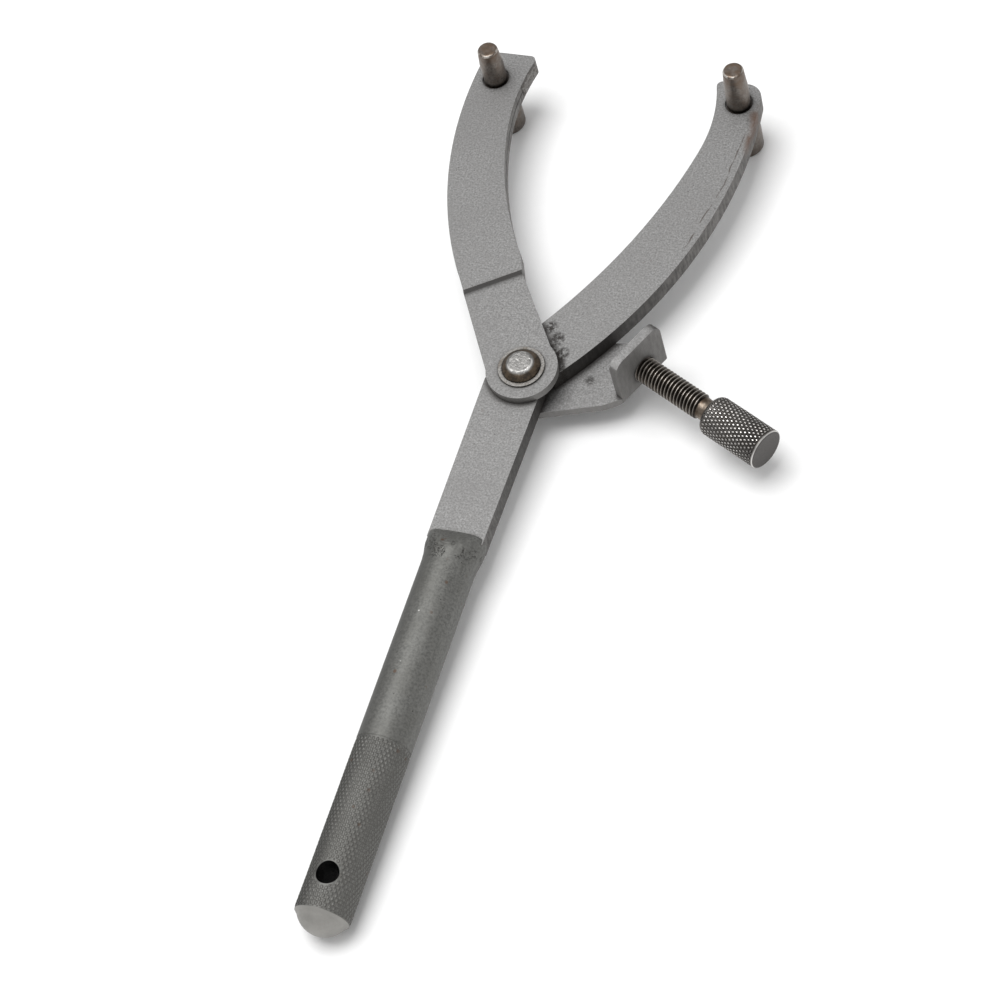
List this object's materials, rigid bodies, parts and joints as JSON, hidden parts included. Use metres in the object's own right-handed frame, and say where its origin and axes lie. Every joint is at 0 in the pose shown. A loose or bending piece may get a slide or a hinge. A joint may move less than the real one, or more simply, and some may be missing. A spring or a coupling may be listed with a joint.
{
  "type": "adjustable pin spanner",
  "caption": "Y-shaped steel pin tool: a curved fixed jaw on a knurled round handle, and a second curved jaw that swings on a rivet and is set by a knurled screw.",
  "frame": {"origin": "centre of the hanging hole in the handle, on the handle's axis", "axes": "+Y along the handle towards the jaws, +Z along the hanging hole and the working pins, +X to the right, on the side of the screw"},
  "size_m": [0.1307, 0.2992, 0.0384],
  "materials": {
    "blasted_steel": "bead-blasted plate, fine grain",
    "handle_steel": "oiled dark bar, diamond knurl on the grip",
    "weld": "ground weld",
    "pin_steel": "worn, browned at the tips",
    "rivet_steel": "polished by wear, brown stains",
    "washer_steel": "plain",
    "screw_steel": "brown oxide, bright crests",
    "knob_steel": "dark, diamond knurl"
  },
  "bodies": {
    "handle": {"fixed_jaw": "blasted_steel", "handle_bar": "handle_steel", "handle_weld": "weld", "fixed_jaw_pin": "pin_steel", "pivot_rivet": "rivet_steel", "upper_washer": "washer_steel", "lower_washer": "washer_steel"},
    "moving_jaw": {"upper_leaf": "blasted_steel", "lower_leaf": "blasted_steel", "leaf_tip_weld": "weld", "moving_jaw_pin": "pin_steel"},
    "screw_carrier": {"screw_tip": "screw_steel"},
    "screw": {"screw_shank": "screw_steel", "screw_knob": "knob_steel"}
  },
  "joints": [
    {"name": "jaw_pivot", "type": "hinge", "parent": "handle", "child": "moving_jaw", "pos_m": [0.0025, 0.166, 0], "axis": [0, 0, 1], "range_deg": [-28, 16]},
    {"name": "screw_advance", "type": "slide", "parent": "moving_jaw", "child": "screw_carrier", "axis": [-0.8988, 0.4384, 0], "range_m": [-0.00125, 0.00156]},
    {"name": "screw_turn", "type": "hinge", "parent": "screw_carrier", "child": "screw", "pos_m": [0.0374, 0.17495, 0.0012], "axis": [-0.8988, 0.4384, 0], "range_deg": [-360, 450]}
  ],
  "couplings": [
    {"joint": "screw_turn", "follows": "screw_advance", "rad_per_m": 5026.5}
  ]
}
